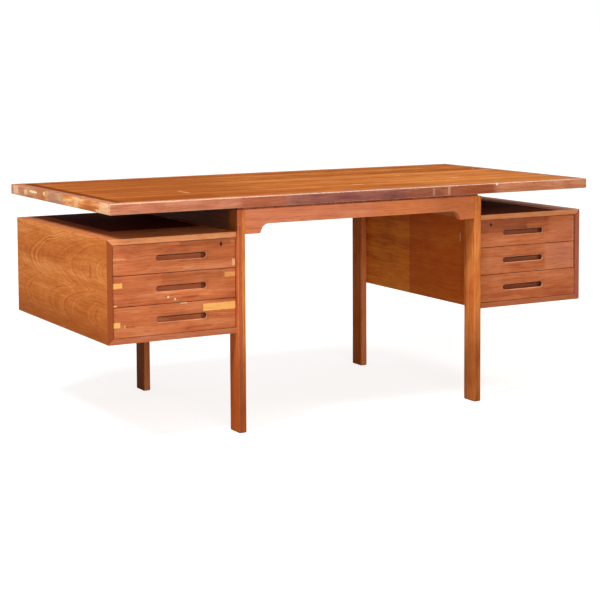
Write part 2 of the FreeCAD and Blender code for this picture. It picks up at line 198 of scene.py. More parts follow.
world = bpy.data.worlds.new("white studio")
bpy.context.scene.world = world
world.use_nodes = True
sky = world.node_tree
sky.nodes.clear()
dim = add(sky, "Background", {"Color": "#F7F5F2", "Strength": SKY_STRENGTH})
white = add(sky, "Background", {"Color": "#FFFFFF", "Strength": 1.0})
shown = add(sky, "MixShader", {0: background_rays(sky), 1: dim.outputs[0], 2: white.outputs[0]})
add(sky, "OutputWorld", {"Surface": shown.outputs[0]})

for name, (place, size, watts) in LAMPS.items():
    lamp = bpy.data.lights.new(name, "AREA")
    lamp.size, lamp.energy, lamp.color = size, watts, LAMP_COLOUR
    shade = bpy.data.objects.new(name, lamp)
    shade.location = place
    shade.rotation_euler = (AIM - Vector(place)).to_track_quat("-Z", "Y").to_euler()
    bpy.context.scene.collection.objects.link(shade)
print("lamps:", ", ".join(LAMPS))

# %% [markdown]
# ## Teak
# Teak is an oily, golden brown wood. Its grain is a set of long streaks, narrow across and hundreds of
# millimetres along, over broader bands and soft clouds of colour, with open pores that read as fine dark
# flecks. A picture of wood could be wrapped on, but it would repeat. Here the place on the desk, in
# millimetres, is squeezed along the grain and given to noise, so each board has its own figure at its
# real size. Oiled wood has a refractive index near 1.5, the node's own value. Its roughness starts from
# about 0.6, and each surface is matched to the desk from there.

# %% Places and noise
UNBOUNDED = (-1e4, 1e4)


def millimetres(tree):
    """The place on the desk at rest, in millimetres."""
    place = add(tree, "TexCoord", {})
    scaled = add(tree, "VectorMath", {0: place.outputs["Object"], "Scale": 1000.0}, operation="SCALE")
    return scaled.outputs[0]


def stretched(tree, place, along, length, width, shift=0.0):
    """Squeezes a place so that one cell of noise is length long with the grain and width wide across it.
    The shift moves it, so that two noises don't fall together."""
    shares = [1 / width] * 3
    shares["XYZ".index(along)] = 1 / length
    moved = add(tree, "VectorMath", {0: place, 1: shares, 2: [shift] * 3}, operation="MULTIPLY_ADD")
    return moved.outputs[0]


def swayed(tree, place, reach, size):
    """Moves each place by up to about half the reach, with slow noise, so that no line runs straight."""
    slow = add(tree, "VectorMath", {0: place, "Scale": 1 / size}, operation="SCALE")
    noise = add(tree, "TexNoise", {"Vector": slow.outputs[0], "Scale": 1.0, "Detail": 2.0})
    centred = add(tree, "VectorMath", {0: noise.outputs["Color"], 1: [0.5] * 3}, operation="SUBTRACT")
    moved = add(tree, "VectorMath", {0: centred.outputs[0], 1: [reach] * 3, 2: place},
                operation="MULTIPLY_ADD")
    return moved.outputs[0]


def soft_box(tree, place, spans, soft):
    """One inside a box and zero outside: the greatest distance past any face, faded over a soft edge."""
    spans = [span or UNBOUNDED for span in spans]
    middle = [(low + high) / 2 for low, high in spans]
    half = [(high - low) / 2 for low, high in spans]
    away = add(tree, "VectorMath", {0: place, 1: middle}, operation="SUBTRACT")
    away = add(tree, "VectorMath", {0: away.outputs[0]}, operation="ABSOLUTE")
    away = add(tree, "VectorMath", {0: away.outputs[0], 1: half}, operation="SUBTRACT")
    parts = add(tree, "SeparateXYZ", {0: away.outputs[0]})
    most = add(tree, "Math", {0: parts.outputs["X"], 1: parts.outputs["Y"]}, operation="MAXIMUM")
    most = add(tree, "Math", {0: most.outputs[0], 1: parts.outputs["Z"]}, operation="MAXIMUM")
    faded = add(tree, "MapRange", {"Value": most.outputs[0], "From Min": -soft, "From Max": soft,
                                   "To Min": 1.0, "To Max": 0.0}, interpolation_type="SMOOTHSTEP")
    return faded.outputs[0]


# %% Wood from stretched noise
# Lengths and widths are in millimetres. Real pores are a fifth of a millimetre wide. They are drawn wider
# here, so that they show in the picture.
SWAY_REACH, SWAY_SIZE = 26.0, 240.0
BAND_STRETCH, BAND_SHIFT, STREAK_SHIFT = 3.4, 3.1, 7.7
CLOUD_LENGTH, CLOUD_WIDTH, CLOUD_SHIFT = 110.0, 45.0, 1.9
TEAR_REACH, TEAR_SIZE = 5.0, 9.0
PORE_LENGTH, PORE_WIDTH = 55.0, 2.2
PORE_START, PORE_FULL, PORE_DARK = 0.54, 0.72, 0.42
NOISE_LOW, NOISE_HIGH = 0.35, 0.65
RELIEF_STRENGTH, RELIEF_DEPTH = 0.35, 0.0003


def wood(name, shades, along, band=38.0, streak=4.0, length=520.0, reach=0.11, fine_share=0.55,
         cloud_share=0.30, patches=(), rims=(), roughness=(0.50, 0.66), specular=0.15, figure=None,
         lines=0.0):
    """Bands, streaks and clouds choose a shade from dark to light, and a figure adds growth lines. Patches
    lay colour over places of wear with torn edges, rims do so with true ones, and pores darken and dent the
    result. A patch or rim is a colour, a strength, the width of its soft edge, and spans in x, y and z. No
    span is no bound."""
    material, tree = new_material(name)
    place = millimetres(tree)
    bent = swayed(tree, place, SWAY_REACH, SWAY_SIZE)
    bands = stretched(tree, bent, along, length * BAND_STRETCH, band, BAND_SHIFT)
    broad = add(tree, "TexNoise", {"Vector": bands, "Scale": 1.0, "Detail": 2.0, "Roughness": 0.5})
    streaks = stretched(tree, bent, along, length, streak, STREAK_SHIFT)
    fine = add(tree, "TexNoise", {"Vector": streaks, "Scale": 1.0, "Detail": 4.0, "Roughness": 0.65})
    clouds = stretched(tree, place, along, CLOUD_LENGTH, CLOUD_WIDTH, CLOUD_SHIFT)
    cloud = add(tree, "TexNoise", {"Vector": clouds, "Scale": 1.0, "Detail": 3.0, "Roughness": 0.55})
    grain = add(tree, "Mix", {SHARE: fine_share, NUMBER_A: broad.outputs["Fac"],
                              NUMBER_B: fine.outputs["Fac"]}, data_type="FLOAT")
    clouded = add(tree, "Mix", {SHARE: cloud_share, NUMBER_A: grain.outputs[0],
                                NUMBER_B: cloud.outputs["Fac"]}, data_type="FLOAT")
    tone = clouded.outputs[0]
    if figure:
        lined = add(tree, "Math", {0: figure(tree, bent), 1: lines, 2: tone}, operation="MULTIPLY_ADD")
        tone = lined.outputs[0]
    ramp = add(tree, "ValToRGB", {0: tone})
    steps = ramp.color_ramp.elements
    steps[0].position, steps[0].color = 0.5 - reach, linear(shades[0])
    steps[1].position, steps[1].color = 0.5 + reach, linear(shades[2])
    steps.new(0.5).color = linear(shades[1])
    colour = ramp.outputs[0]

    torn = swayed(tree, place, TEAR_REACH, TEAR_SIZE)
    marks = [(torn, patch) for patch in patches] + [(place, rim) for rim in rims]
    for where, (code, strength, soft, *spans) in marks:
        inside = soft_box(tree, where, spans, soft)
        amount = add(tree, "Math", {0: inside, 1: strength}, operation="MULTIPLY")
        laid = add(tree, "Mix", {SHARE: amount.outputs[0], COLOUR_A: colour, COLOUR_B: code},
                   data_type="RGBA")
        colour = laid.outputs[COLOUR_OUT]

    grooves = stretched(tree, bent, along, PORE_LENGTH, PORE_WIDTH)
    pores = add(tree, "TexNoise", {"Vector": grooves, "Scale": 1.0, "Detail": 2.0})
    flecks = add(tree, "MapRange", {"Value": pores.outputs["Fac"], "From Min": PORE_START,
                                    "From Max": PORE_FULL, "To Min": 0.0, "To Max": PORE_DARK})
    flecked = add(tree, "Mix", {SHARE: flecks.outputs[0], COLOUR_A: colour, COLOUR_B: shades[0]},
                  data_type="RGBA", blend_type="MULTIPLY")
    sheen = add(tree, "MapRange", {"Value": fine.outputs["Fac"], "From Min": NOISE_LOW,
                                   "From Max": NOISE_HIGH, "To Min": roughness[1], "To Max": roughness[0]})
    relief = add(tree, "Math", {0: flecks.outputs[0], 1: -1.0, 2: fine.outputs["Fac"]},
                 operation="MULTIPLY_ADD")
    bump = add(tree, "Bump", {"Strength": RELIEF_STRENGTH, "Distance": RELIEF_DEPTH,
                              "Height": relief.outputs[0]})
    surface = add(tree, "BsdfPrincipled", {
        "Base Color": flecked.outputs[COLOUR_OUT], "Roughness": sheen.outputs[0],
        "Specular IOR Level": specular, "Normal": bump.outputs[0]})
    add(tree, "OutputMaterial", {"Surface": surface.outputs[0]})
    return material


print("pores, millimetres:", [PORE_LENGTH, PORE_WIDTH])

# %% [markdown]
# ## Tabletop and lippings
# The top is sliced veneer, oiled and nearly matt. Its solid lippings have been handled the most: the
# front one has turned from pink at the left to purple brown in the middle, and both arrises carry pale
# lines of painted highlight. The left one has pale blocks where the finish has gone. Each mark could be
# painted into a picture, but a patch with a soft or torn edge, laid over the grain, stays sharp from near
# by and keeps its place in millimetres.

# %% Veneer of the top
# Sliced teak veneer, oiled and rubbed: calm bands with hardly any shine, darker at the left, with small
# dents.
top_veneer = wood(
    "oiled teak veneer, top", ("#84421C", "#B86A34", "#D48A50"), "X", band=44, streak=6, length=700,
    reach=0.10, cloud_share=0.16, roughness=(0.78, 0.90), specular=0.0,
    patches=[("#8C4A22", 0.66, 160, (-878, -240), None, None),
             ("#A05C2C", 0.25, 120, (-260, 250), None, None),
             ("#D58A4A", 0.45, 120, (300, 900), (-400, -120), None),
             ("#5E2A10", 0.80, 9, (-852, -816), None, None),
             ("#7A3E14", 0.55, 50, (-878, -480), (-430, -260), None),
             ("#EBBE92", 0.9, 2, (508, 536), (-160, -150), None),
             ("#EBBE92", 0.85, 2, (180, 200), (-406, -397), None),
             ("#EBBE92", 0.75, 2, (62, 106), (-228, -219), None),
             ("#EBBE92", 0.75, 2, (388, 410), (19, 29), None),
             ("#EBBE92", 0.6, 3, (814, 824), (153, 163), None),
             ("#E2AA74", 0.6, 5, (-527, -518), (-212, -134), None)])
print("made:", top_veneer.name)

# %% Wood of the lippings
# These spans hold a mark to the front lipping, or to the left one.
FRONT, LEFT = (-440, -385), (-900, -700)

# Solid teak, planed: short streaks, and a low shine where hands and sleeves have rubbed it.
lipping_wood = wood(
    "solid teak, worn front lipping", ("#8E4C34", "#BE7450", "#D9987A"), "X", band=14, streak=4, length=90,
    cloud_share=0.45, specular=0.12,
    patches=[("#B87054", 0.55, 25, (-878, -452), FRONT, None),
             ("#98482C", 0.75, 22, (-452, -290), FRONT, None),
             ("#703F42", 0.80, 28, (-290, 150), FRONT, None),
             ("#783A26", 0.75, 25, (150, 300), FRONT, None),
             ("#88360A", 0.84, 22, (300, 500), FRONT, None),
             ("#C07850", 0.5, 20, (500, 878), FRONT, None),
             ("#C8968A", 0.45, 1.5, (247, 255), FRONT, (701, 724)),
             ("#D9A88A", 0.5, 1.5, (306, 316), FRONT, (701, 726)),
             ("#A85E26", 0.70, 0.8, None, (-423.5, 423.5), (729, 732)),
             # Painted highlights: a near-white glint on the upper front arris, and pale lines along the upper
             # and lower arrises.
             ("#F4E8DE", 0.9, 1.0, (498, 505), (-427, -421), (723, 731)),
             ("#EACBB4", 0.7, 0.9, None, (-426, -423.4), (727.6, 731)),
             ("#DDB094", 0.5, 0.9, None, None, (696, 698.6))])

# Solid teak, planed: its short grain runs front to back, and the worn blocks are nearly bare wood.
end_lipping = wood(
    "solid teak, worn end lipping", ("#A9561F", "#CF8142", "#EBB680"), "Y", band=12, streak=5, length=60,
    reach=0.09, cloud_share=0.45, specular=0.12,
    patches=[("#AE6A42", 0.65, 18, LEFT, (96, 330), None),
             ("#DEB084", 0.75, 3, LEFT, (-426, -344), None),
             ("#EBC096", 0.8, 3, LEFT, (-350, -316), (696, 706)),
             ("#DDB282", 0.7, 4, LEFT, (-177, -143), None),
             ("#A28470", 0.6, 6, LEFT, (-48, 87), None),
             ("#F6E2C6", 0.9, 2, LEFT, (108, 120), (716, 725)),
             ("#F6E2C6", 0.9, 2, LEFT, (180, 247), (716, 722)),
             ("#BC7A60", 0.55, 10, LEFT, (300, 426), None),
             ("#EACBAE", 0.7, 3, LEFT, (356, 404), (702, 727)),
             ("#EACBAE", 0.6, 3, LEFT, (268, 300), (706, 722)),
             ("#844620", 0.80, 0.8, (-876.5, 876.5), None, (729, 732)),
             ("#6A3418", 0.7, 1.0, LEFT, (-419.5, -416.5), None)])
print("made:", lipping_wood.name + ";", end_lipping.name)

# %% [markdown]
# ## Frame
# Rails and legs are solid teak, planed and oiled. The front rail is painted pinker where the light reaches
# it, and the legs carry painted shade and light: darker towards the floor and on faces the light misses,
# lighter where it falls. One material could serve them all, but the grain of each runs along its own
# length, so each kind has its own.

# %% Rails and legs
# Spans of the left legs' width and of the front legs' depth.
LEFT_LEGS, FRONT_LEGS = (-460, -440), (-412, -340)

# The long rails: an even pinkish brown with a low shine.
frame_wood = wood(
    "solid teak, oiled rails", ("#C06A40", "#E28450", "#EC9A68"), "X", band=22, streak=4, length=240,
    reach=0.15, specular=0.08,
    patches=[("#BE6A3C", 0.6, 60, (250, 440), None, None),
             # Painted light: the front rail pinker where the light reaches it.
             ("#DA9088", 0.20, 90, (-440, 40), None, None)])

# The legs: upright grain, nearly matt, and pinker on the narrow face of the front left leg, with painted
# light and shade over them.
leg_wood = wood(
    "solid teak, oiled legs", ("#A5521F", "#CE7538", "#DC8C4C"), "Z", band=12, streak=3, length=300,
    specular=0.02,
    patches=[("#C06044", 0.65, 2, LEFT_LEGS, (-412, -402), None),
             # A pale line of painted highlight on the front left leg's outer front corner.
             ("#E29A74", 0.5, 0.8, (-454, -451.5), (-407, -403), None),
             # Painted shade: the front legs darker towards the floor, and the back legs low down.
             ("#6A3216", 0.9, 190, None, (-420, -300), (-200, 200)),
             ("#74381A", 0.35, 170, None, (300, 400), (-200, 130)),
             # Painted light on the back legs' front faces.
             ("#D08458", 0.5, 2, None, (312, 322), None),
             ("#7C3410", 0.25, 2, LEFT_LEGS, FRONT_LEGS, (-10, 640)),
             # Painted shade: the front left leg darker again near the floor.
             ("#6E2A06", 0.3, 90, LEFT_LEGS, FRONT_LEGS, (-200, 160)),
             # Painted light on the front left leg's outer face below the pedestal.
             ("#B8541A", 0.5, 1, (-456, -451), (-402, -344), (-10, 300)),
             # Painted shade on the back legs' faces towards the left, and on the front left leg's outer face
             # in the gap under the top.
             ("#8A3A0C", 0.55, 2, (424, 430), (314, 380), None),
             ("#4A1A04", 0.75, 2, (-456, -450), (314, 380), None),
             ("#5A2410", 0.6, 3, (-456, -450), (-402, -340), (622, 700))])

# The side rails: painted shade makes the outer faces dark, which only show in the gap over the pedestals.
side_rail_wood = wood(
    "solid teak, oiled side rails", ("#A55424", "#C47038", "#D4864A"), "Y", band=22, streak=4,
    rims=[("#3A1004", 0.85, 1.5, span, None, None) for span in ((-460, -450), (450, 460))])
print("made:", "; ".join(material.name for material in (frame_wood, leg_wood, side_rail_wood)))

# %% [markdown]
# ## Veneered panels
# The end panels were sliced near the log's heart, so growth rings open as long nested loops. Stretched
# noise has no such figure, and a plain wave would be too regular. The loops are parabolas round two
# hearts, and noise along the loops' own number gives rings of uneven width. The knee panels and the backs
# are straight grained.

# %% Cathedral figure of the end panels
HEARTS = ((0, 0, 387), (0, -60, 521))
HEART_BLEND = 0.2
LOOP_LENGTH, LOOP_SPREAD = 190.0, 74.0
RING_RATE, RING_DRIFT = 8.5, 0.45
RING_LOW, RING_HIGH = 0.30, 0.70
BEND_LENGTH, BEND_WIDTH, BEND_SHIFT = 320.0, 110.0, 5.3
FADE_LENGTH, FADE_WIDTH, FADE_SHIFT = 160.0, 60.0, 9.1
FADE_LOW, FADE_HIGH = 0.38, 0.60
FAINTEST, CLEAREST = 0.25, 1.2


def growth_lines(tree, bent):
    """Nested loops that open to the front: the depth plus the square of the height from a heart, over the
    loop's own length and spread. Where two hearts meet, the smaller sum wins. Noise along that one number
    makes rings of uneven width, as wet and dry years do, and slower noise bends and fades them in places."""
    loops = []
    for heart in HEARTS:
        away = add(tree, "VectorMath", {0: bent, 1: heart}, operation="SUBTRACT")
        near = add(tree, "VectorMath", {0: away.outputs[0], 1: (0, 1 / LOOP_LENGTH, 1 / LOOP_SPREAD)},
                   operation="MULTIPLY")
        parts = add(tree, "SeparateXYZ", {0: near.outputs[0]})
        square = add(tree, "Math", {0: parts.outputs["Z"], 1: parts.outputs["Z"], 2: parts.outputs["Y"]},
                     operation="MULTIPLY_ADD")
        loops.append(square.outputs[0])
    least = add(tree, "Math", {0: loops[0], 1: loops[1], 2: HEART_BLEND}, operation="SMOOTH_MIN")
    wide = stretched(tree, bent, "Y", BEND_LENGTH, BEND_WIDTH, BEND_SHIFT)
    bend = add(tree, "TexNoise", {"Vector": wide, "Scale": 1.0, "Detail": 1.0})
    count = add(tree, "Math", {0: bend.outputs["Fac"], 1: RING_DRIFT, 2: least.outputs[0]},
                operation="MULTIPLY_ADD")
    years = add(tree, "TexNoise", {"W": count.outputs[0], "Scale": RING_RATE, "Detail": 1.5,
                                   "Roughness": 0.6}, noise_dimensions="1D")
    rings = add(tree, "MapRange", {"Value": years.outputs["Fac"], "From Min": RING_LOW,
                                   "From Max": RING_HIGH, "To Min": -1.0, "To Max": 1.0})
    patchy = stretched(tree, bent, "Y", FADE_LENGTH, FADE_WIDTH, FADE_SHIFT)
    faint = add(tree, "TexNoise", {"Vector": patchy, "Scale": 1.0})
    clear = add(tree, "MapRange", {"Value": faint.outputs["Fac"], "From Min": FADE_LOW,
                                   "From Max": FADE_HIGH, "To Min": FAINTEST, "To Max": CLEAREST})
    shown = add(tree, "Math", {0: rings.outputs[0], 1: clear.outputs[0]}, operation="MULTIPLY")
    return shown.outputs[0]


print("hearts of the figure, millimetres:", HEARTS)

# %% Veneers of the panels
# Crown-cut veneer, oiled: nested lines over soft bands, painted browner low down as shade, with lippings
# along the front edge.
end_veneer = wood(
    "oiled teak veneer, end panels", ("#AA5A26", "#C67439", "#DA9254"), "Y", band=60, streak=5, length=220,
    reach=0.16, roughness=(0.66, 0.80), specular=0.03, fine_share=0.42, cloud_share=0.20,
    figure=growth_lines, lines=0.075,
    # Painted shade: browner towards the floor.
    patches=[("#884014", 0.72, 55, None, None, (280, 366)),
             ("#944A28", 0.9, 1.0, (-900, 0), (-396, -389.5), None),
             # The right pedestal's front edge strip: lighter and pinker, partly its own wood and partly
             # painted highlight.
             ("#AC5C4C", 0.9, 1.0, (0, 900), (-396, -389.5), None),
             ("#8A4420", 0.5, 5, LEFT, (-270, -254), (496, 534))])

# Straight-grained veneer towards the knees, oiled: a clear orange, and redder over its front half.
inner_veneer = wood(
    "oiled teak veneer, knee panels", ("#AC561A", "#D47424", "#E28C34"), "Y", band=50, streak=6, length=320,
    reach=0.15, specular=0.05,
    patches=[("#AC440C", 0.6, 3, None, (-400, 28), None),
             ("#DC8E40", 0.4, 4, None, (-334, -305), None),
             ("#EAC090", 0.6, 0.8, (440, 480), (-286, -282), (526, 554))])

# Plain veneer on the pedestals' backs, oiled: even streaks and no wear.
back_veneer = wood(
    "oiled teak veneer, backs", ("#A65A2C", "#C47440", "#D48A58"), "X", band=40, streak=5, length=300,
    reach=0.14)
print("made:", "; ".join(material.name for material in (end_veneer, inner_veneer, back_veneer)))

# %% [markdown]
# ## Drawer fronts and pedestal edges
# The drawer fronts have pale strips where old tape was pulled off the finish, and darker upper edges. On
# the right pedestal the fronts are painted a little darker, the top's shadow is painted over the top front,
# and the right parts of the upper fronts are painted lighter where light reaches them. The carved pulls
# have painted shade in their walls, under their upper lips and at their right ends, and pale rims round
# their mouths, partly wear and partly painted highlight. A keyhole's slot is painted shade. A pull's dark
# parts and a keyhole's slot are rims, because their edges are crisp. Under the top, the pedestals' tops
# are dark: a matt dark stain, with the top's painted shadow over it.

# %% Veneer of the drawer fronts
# Spans across the desk: each pedestal's pulls, the right end of each, painted dark as shade, and the
# slots of the keyholes.
LEFT_PULL, RIGHT_PULL = (-722, -550), (550, 722)
PULL_ENDS = ((-564, -550), (708, 722))
KEYHOLES = ((-504.9, -500.7), (500.9, 504.7))
# Spans in depth: the fronts' faces, then a pull's lip, its walls, and its walls with the lip's inner
# edge.
FACE, PULL_LIP, PULL_WALLS, PULL_DEPTH = (-400, -385), (-390.5, -388.6), (-388, -376), (-388.5, -376)
# Heights: the middle of each pull, half its height with some to spare, and where the painted shade under
# its lip starts.
PULL_MIDDLES = (373.7, 466.0, 558.3)
PULL_HALF, SHADE_START = 12.0, 4.5

# Painted shade in the pulls' walls, deeper on the right pedestal.
pull_rims = [("#74382A", 0.26, 0.5, LEFT_PULL, PULL_WALLS, None),
             ("#5A2A18", 0.60, 0.5, RIGHT_PULL, PULL_WALLS, None),
             # Pale rims round the pulls' mouths: partly wear, partly painted highlight.
             ("#E4A480", 0.45, 0.4, LEFT_PULL, PULL_LIP, None),
             ("#E8B090", 0.60, 0.4, RIGHT_PULL, PULL_LIP, None)]
# Painted shade under each pull's upper lip.
for middle in PULL_MIDDLES:
    shaded = (middle + SHADE_START, middle + PULL_HALF)
    for span in (LEFT_PULL, RIGHT_PULL):
        pull_rims.append(("#2A0E08", 0.75, 0.8, span, PULL_DEPTH, shaded))
# Painted shade at each pull's right end.
for middle in PULL_MIDDLES:
    whole = (middle - PULL_HALF, middle + PULL_HALF)
    for span in PULL_ENDS:
        pull_rims.append(("#240A06", 0.80, 5.0, span, PULL_DEPTH, whole))
# Painted shade for the keyholes' slots, above and below the plug.
slots = [("#120604", 0.95, 0.5, span, FACE, (580.8, 595.6)) for span in KEYHOLES]

# Sliced veneer, oiled: narrow streaks across each front, with a low shine.
front_veneer = wood(
    "oiled teak veneer, drawer fronts", ("#9A482A", "#BE693C", "#D0845A"), "X", band=26, streak=3,
    length=200, reach=0.14, rims=pull_rims + slots,
    # Painted shade: the right pedestal's fronts a little darker.
    patches=[("#9A4C28", 0.08, 40, (460, 900), FACE, None),
             # Painted shade in a dark band at the right end of the upper two right fronts, with a pale line
             # at its left edge.
             ("#7A3E26", 0.7, 1.5, (850.5, 860), FACE, (421, 606)),
             ("#E2A882", 0.5, 0.8, (848, 850.5), FACE, (421, 590)),
             ("#F0B060", 0.95, 1.5, (-565, -455), FACE, (387, 409)),
             ("#F0B060", 0.95, 1.5, (-859, -829), FACE, (476, 491)),
             ("#E9A85C", 0.65, 1.5, (-492, -455), FACE, (487, 501)),
             ("#F0B060", 0.95, 1.5, (-859, -836), FACE, (359, 375)),
             ("#EBC096", 0.7, 2, (-465, -454), FACE, (520, 539)),
             ("#E0A070", 0.6, 1.5, (-857, -819), FACE, (560, 565)),
             ("#F6D2A8", 0.9, 1.2, (-683, -677), FACE, (437, 443)),
             ("#F6D2A8", 0.85, 1.2, (-660, -655), FACE, (428, 433)),
             ("#F0BC80", 0.8, 1.5, (-860, -846), FACE, (421.5, 426)),
             ("#F0C8A0", 0.7, 1.2, (-640, -618), FACE, (416, 419)),
             ("#6E3418", 0.6, 1.5, (-820, -790), FACE, (358, 362)),
             ("#F0BC90", 0.8, 1.0, (-823, -821), FACE, (355, 366)),
             ("#84401E", 0.5, 6, (-640, -470), FACE, (587, 606)),
             ("#84401E", 0.35, 8, (-700, -500), FACE, (484, 512)),
             # The top's shadow, painted over the upper part of the right top front.
             ("#78301A", 0.6, 8, (455, 652), FACE, (560, 606)),
             ("#78301A", 0.6, 8, (652, 742), FACE, (588, 606)),
             # Painted light on the right parts of the right pedestal's upper two fronts.
             ("#CE7C5C", 0.3, 6, (742, 848), FACE, (515, 586)),
             ("#D48868", 0.45, 8, (730, 846), FACE, (424, 510))])
print("made:", front_veneer.name)

# %% Wood of the pedestals' tops and bottoms
# Spans of the upper faces in height and depth, and of the front edges in depth.
UPPER_FACE, PEDESTAL_DEPTH, FRONT_EDGE = (620, 640), (-391, 400), (-396, -388)

# Solid teak, planed: a matt pink edge towards the room, and behind it dark stain and painted shade.
carcase_wood = wood(
    "solid teak, pedestal edges", ("#BA7044", "#DC8E5A", "#E8A474"), "X", band=18, streak=4, length=200,
    roughness=(0.85, 0.95), specular=0.02,
    # Painted shade over the pedestals' upper faces, under the top.
    rims=[("#9C5228", 0.6, 1.2, None, PEDESTAL_DEPTH, UPPER_FACE),
          # Painted reflected light on a pale strip at the right pedestal's outer end.
          ("#D0A898", 0.7, 3, (784, 900), PEDESTAL_DEPTH, UPPER_FACE),
          # Painted shade on the right pedestal's front band.
          ("#5A2412", 0.85, 1.2, (440, 781), (-390, -180), UPPER_FACE),
          # The dark field behind: partly matt dark stain, partly the top's painted shadow.
          ("#642010", 0.96, 1.2, (-781, 781), (-190, 400), UPPER_FACE)],
    patches=[("#A4583C", 0.75, 3, None, FRONT_EDGE, (305, 330)),
             # Painted shade: the right pedestal's upper front edge a little darker.
             ("#A8522E", 0.25, 3, (440, 900), FRONT_EDGE, (596, 640)),
             ("#E89C70", 0.30, 3, (-880, -440), FRONT_EDGE, (596, 640))])
print("made:", carcase_wood.name)

# %% [markdown]
# ## Spacer strips, drawer boxes and metals
# The strips between frame and top are teak again. The drawer boxes don't show from the front: such desks
# have them in waxed beech, with thin bottoms of birch plywood. Both are pale and fine grained, so the
# same function makes them from paler shades. Zinc plating scatters light in soft grey patches. Old brass
# has gone nearly brown. A metal's colour is the colour of its reflection, so metallic is one, and noise
# moves only its gloss or tarnish.

# %% Spacer strips and drawer boxes
# Solid teak in the shade of the gap, then the pale woods: beech with fine streaks, and birch with broad,
# faint ones.
spacer_wood = wood(
    "oiled teak, spacer strips", ("#9A5238", "#C07050", "#D88A68"), "Y", band=14, streak=4, specular=0.1)
beech = wood("waxed beech", ("#C09468", "#D3AB7D", "#DDB98D"), "Y", band=30, streak=4, length=260)
ply = wood("birch plywood, clear lacquer", ("#CDA878", "#DBBB8E", "#E4C89E"), "X", band=60, streak=9)
print("made:", "; ".join(material.name for material in (spacer_wood, beech, ply)))

# %% Metals of the locks
# Noise cells of one to two millimetres, the size of a spot of tarnish. The grains of plated zinc are finer,
# and are drawn this coarse so that they show.
ZINC_SPOTS, BRASS_SPOTS = 0.6, 0.9

# Steel under bright zinc plating: a soft grey gloss that changes from patch to patch.
steel, tree = new_material("zinc-plated steel")
scuffs = add(tree, "TexNoise", {"Vector": millimetres(tree), "Scale": ZINC_SPOTS, "Detail": 3.0})
sheen = add(tree, "MapRange", {"Value": scuffs.outputs["Fac"], "From Min": 0.3, "From Max": 0.7,
                               "To Min": 0.30, "To Max": 0.48})
surface = add(tree, "BsdfPrincipled", {"Base Color": "#A9A69F", "Metallic": 1.0,
                                       "Roughness": sheen.outputs[0]})
add(tree, "OutputMaterial", {"Surface": surface.outputs[0]})

# Turned brass, never polished: a dark brown reflection, uneven where tarnish is thicker.
brass, tree = new_material("tarnished brass")
scuffs = add(tree, "TexNoise", {"Vector": millimetres(tree), "Scale": BRASS_SPOTS, "Detail": 3.0})
tarnish = add(tree, "Mix", {SHARE: scuffs.outputs["Fac"], COLOUR_A: "#2E1E12", COLOUR_B: "#4A3420"},
              data_type="RGBA")
surface = add(tree, "BsdfPrincipled", {"Base Color": tarnish.outputs[COLOUR_OUT], "Metallic": 1.0,
                                       "Roughness": 0.42})
add(tree, "OutputMaterial", {"Surface": surface.outputs[0]})
print("made:", steel.name + ";", brass.name)

# %% [markdown]
# ## Skins carried over rings
# A lipping, a rail and a leg are each one outline carried along a line while it changes. All its points
# are one numpy array of rings, and a single rule joins ring to ring, so the same function closes every
# such piece.

# %% Rings to a closed skin
SKIN_ANGLE = math.radians(40)


def place_piece(name, mesh, material, body, slot, *nodes):
    """Hangs a finished mesh on its body, gives it its finish, and lets it stand for its CAD nodes."""
    mesh.materials.clear()
    mesh.materials.append(material)
    piece = bpy.data.objects.new(name, mesh)
    bpy.context.scene.collection.objects.link(piece)
    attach(piece, body)
    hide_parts(*nodes)
    return piece


def skin(name, rings):
    """Quads join each ring of points, in millimetres, to the next, and one flat face closes each end."""
    count, around = rings.shape[:2]
    index = np.arange(count * around).reshape(count, around)
    one, two = index[:-1], index[1:]
    quads = np.stack([one, np.roll(one, -1, 1), np.roll(two, -1, 1), two], -1).reshape(-1, 4)
    mesh = bpy.data.meshes.new(name)
    mesh.from_pydata((rings.reshape(-1, 3) / 1000).tolist(), [],
                     quads.tolist() + [index[0, ::-1].tolist(), index[-1].tolist()])
    shell = bmesh.new()
    shell.from_mesh(mesh)
    bmesh.ops.recalc_face_normals(shell, faces=shell.faces)
    shell.to_mesh(mesh)
    shell.free()
    mesh.shade_smooth()
    mesh.set_sharp_from_angle(angle=SKIN_ANGLE)
    return mesh


def rounded_loop(low, high, radii, steps=6):
    """A rectangle's outline with a quarter circle at each corner. A point of one is its centre, plus the
    radius times the cosine of its angle across, and times the sine upwards."""
    turn = np.linspace(0, np.pi / 2, steps)
    (a0, b0), (a1, b1) = low, high
    rounds = ((a0, b0, 1, 1), (a1, b0, -1, 1), (a1, b1, -1, -1), (a0, b1, 1, -1))
    points = []
    for (a, b, side_a, side_b), radius, quarter in zip(rounds, radii, (2, 3, 0, 1)):
        angle = turn + quarter * np.pi / 2
        points.append(np.stack([a + side_a * radius + radius * np.cos(angle),
                                b + side_b * radius + radius * np.sin(angle)], -1))
    return np.concatenate(points)


def corners_of(node):
    """A CAD node's lowest and highest corner at rest, in millimetres."""
    return [np.array(corner) * 1000 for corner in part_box(node)]


print("points round a plain outline:", len(rounded_loop((0, 0), (1, 1), [0.1] * 4)))

# %% [markdown]
# ## Lippings
# A lipping is a solid strip glued round the veneered board, so that the edge takes knocks without
# chipping. Its outer corners are rounded by hand and by years of sleeves. It is a strip's outline carried
# along the edge, and it shortens towards the board by as much as it lies in, which cuts the mitres at its
# ends.

# %% Four mitred lippings
LIPPING_WIDTH, LIPPING_ROUND, GLUED_ROUND = 32.0, 2.2, 0.3
LIPPING_STATIONS = 41

